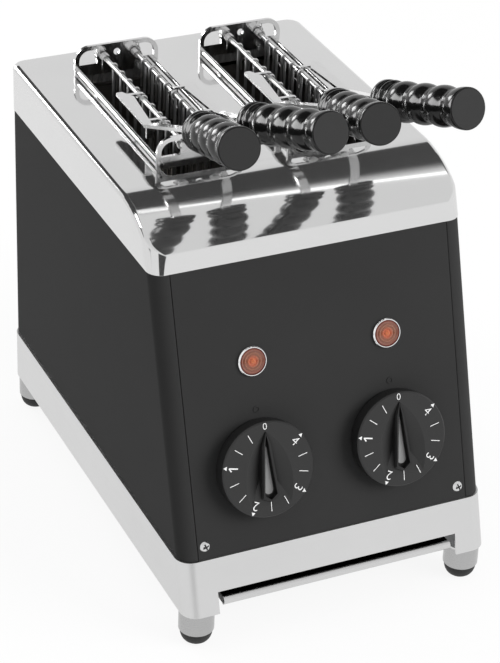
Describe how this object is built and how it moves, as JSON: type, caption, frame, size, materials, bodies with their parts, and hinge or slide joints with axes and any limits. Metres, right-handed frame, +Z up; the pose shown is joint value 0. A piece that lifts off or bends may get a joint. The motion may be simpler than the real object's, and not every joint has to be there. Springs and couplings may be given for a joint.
{
  "type": "slot toaster with tongs",
  "caption": "Counter-top toaster with a leaning control front, lift-out sprung bread tongs, turning timer dials, pilot lamps, a slide-out crumb tray and rubber-tipped feet.",
  "frame": {"origin": "middle of the footprint on the surface that the feet stand on", "axes": "+Z up; -Y is the front with the dials; +X is to the right seen from the front"},
  "size_m": [0.2, 0.303, 0.3291],
  "materials": {
    "satin_steel": "fine-brushed stainless sheet",
    "polished_steel": "mirror-polished stainless sheet",
    "bright_wire": "bright drawn and plated wire",
    "black_panel": "satin black baked enamel on sheet",
    "zinc": "zinc-plated steel",
    "foot_rubber": "moulded black rubber",
    "aluminised": "aluminised reflector sheet",
    "quartz": "milky quartz tube",
    "ceramic": "glazed steatite ceramic",
    "timer_case": "passivated clockwork case",
    "knob_black": "fine-grained moulded phenolic",
    "knob_cap": "matt black cap",
    "inlay_grey": "silver-grey foil",
    "lens_amber": "translucent amber lens with rings",
    "grip_black": "polished black phenolic",
    "dark_plastic": "moulded nylon",
    "cable_jacket": "silicone-rubber insulation"
  },
  "bodies": {
    "housing": {"base_pan": "satin_steel", "foot_sleeves": "satin_steel", "foot_pads": "foot_rubber", "foot_bolts": "zinc", "tray_rails": "zinc", "side_panel_left": "black_panel", "side_panel_right": "black_panel", "rear_panel": "black_panel", "rear_screws": "zinc", "front_panel": "black_panel", "front_screws": "polished_steel", "top_cover": "polished_steel", "box_front_plate": "aluminised", "box_rear_plate": "aluminised", "side_reflectors": "aluminised", "centre_divider": "aluminised", "heater_tubes": "quartz", "heater_bushes": "ceramic", "guard_wires_left": "bright_wire", "guard_wires_right": "bright_wire", "timer_left": "timer_case", "timer_right": "timer_case", "timer_nuts": "zinc", "lamp_bezels": "polished_steel", "lamp_lenses": "lens_amber", "lamp_bodies": "dark_plastic", "terminal_block": "ceramic", "cable_gland": "dark_plastic", "wiring_loom": "cable_jacket"},
    "crumb_tray_body": {"crumb_tray": "satin_steel"},
    "knob_left": {"dial_left": "knob_black", "pointer_left": "knob_cap", "inlay_left": "inlay_grey", "shaft_left": "zinc"},
    "tong_left": {"tong_left_plates": "bright_wire", "tong_left_rails": "bright_wire"},
    "tong_left_jaw_a": {"tong_left_grill_a": "bright_wire", "tong_left_lever_a": "bright_wire", "tong_left_grip_a": "grip_black", "tong_left_spring_a": "bright_wire"},
    "tong_left_jaw_b": {"tong_left_grill_b": "bright_wire", "tong_left_lever_b": "bright_wire", "tong_left_grip_b": "grip_black", "tong_left_spring_b": "bright_wire"},
    "knob_right": {"dial_right": "knob_black", "pointer_right": "knob_cap", "inlay_right": "inlay_grey", "shaft_right": "zinc"},
    "tong_right": {"tong_right_plates": "bright_wire", "tong_right_rails": "bright_wire"},
    "tong_right_jaw_a": {"tong_right_grill_a": "bright_wire", "tong_right_lever_a": "bright_wire", "tong_right_grip_a": "grip_black", "tong_right_spring_a": "bright_wire"},
    "tong_right_jaw_b": {"tong_right_grill_b": "bright_wire", "tong_right_lever_b": "bright_wire", "tong_right_grip_b": "grip_black", "tong_right_spring_b": "bright_wire"}
  },
  "joints": [
    {"name": "crumb_tray_slide", "type": "slide", "parent": "housing", "child": "crumb_tray_body", "axis": [0, -1, 0], "range_m": [0, 0.2]},
    {"name": "timer_left_turn", "type": "hinge", "parent": "housing", "child": "knob_left", "pos_m": [-0.0433, -0.12566, 0.1031], "axis": [0, 0.9553, -0.2957], "range_deg": [0, 307]},
    {"name": "tong_left_lift", "type": "slide", "parent": "housing", "child": "tong_left", "axis": [0, 0, 1], "range_m": [0, 0.15]},
    {"name": "tong_left_jaw_a_hinge", "type": "hinge", "parent": "tong_left", "child": "tong_left_jaw_a", "pos_m": [-0.0524, 0.0425, 0.265], "axis": [0, 1, 0], "range_deg": [0, 5.5], "stiffness_Nm_per_rad": 0.5, "springref_deg": -17.19},
    {"name": "tong_left_jaw_b_hinge", "type": "hinge", "parent": "tong_left", "child": "tong_left_jaw_b", "pos_m": [-0.0316, 0.0425, 0.265], "axis": [0, 1, 0], "range_deg": [-5.5, 0], "stiffness_Nm_per_rad": 0.5, "springref_deg": 17.19},
    {"name": "timer_right_turn", "type": "hinge", "parent": "housing", "child": "knob_right", "pos_m": [0.0433, -0.12566, 0.1031], "axis": [0, 0.9553, -0.2957], "range_deg": [0, 307]},
    {"name": "tong_right_lift", "type": "slide", "parent": "housing", "child": "tong_right", "axis": [0, 0, 1], "range_m": [0, 0.15]},
    {"name": "tong_right_jaw_a_hinge", "type": "hinge", "parent": "tong_right", "child": "tong_right_jaw_a", "pos_m": [0.0316, 0.0425, 0.265], "axis": [0, 1, 0], "range_deg": [0, 5.5], "stiffness_Nm_per_rad": 0.5, "springref_deg": -17.19},
    {"name": "tong_right_jaw_b_hinge", "type": "hinge", "parent": "tong_right", "child": "tong_right_jaw_b", "pos_m": [0.0524, 0.0425, 0.265], "axis": [0, 1, 0], "range_deg": [-5.5, 0], "stiffness_Nm_per_rad": 0.5, "springref_deg": 17.19}
  ],
  "couplings": [
    {"joint": "tong_left_jaw_b_hinge", "follows": "tong_left_jaw_a_hinge", "ratio": -1},
    {"joint": "tong_right_jaw_b_hinge", "follows": "tong_right_jaw_a_hinge", "ratio": -1}
  ]
}
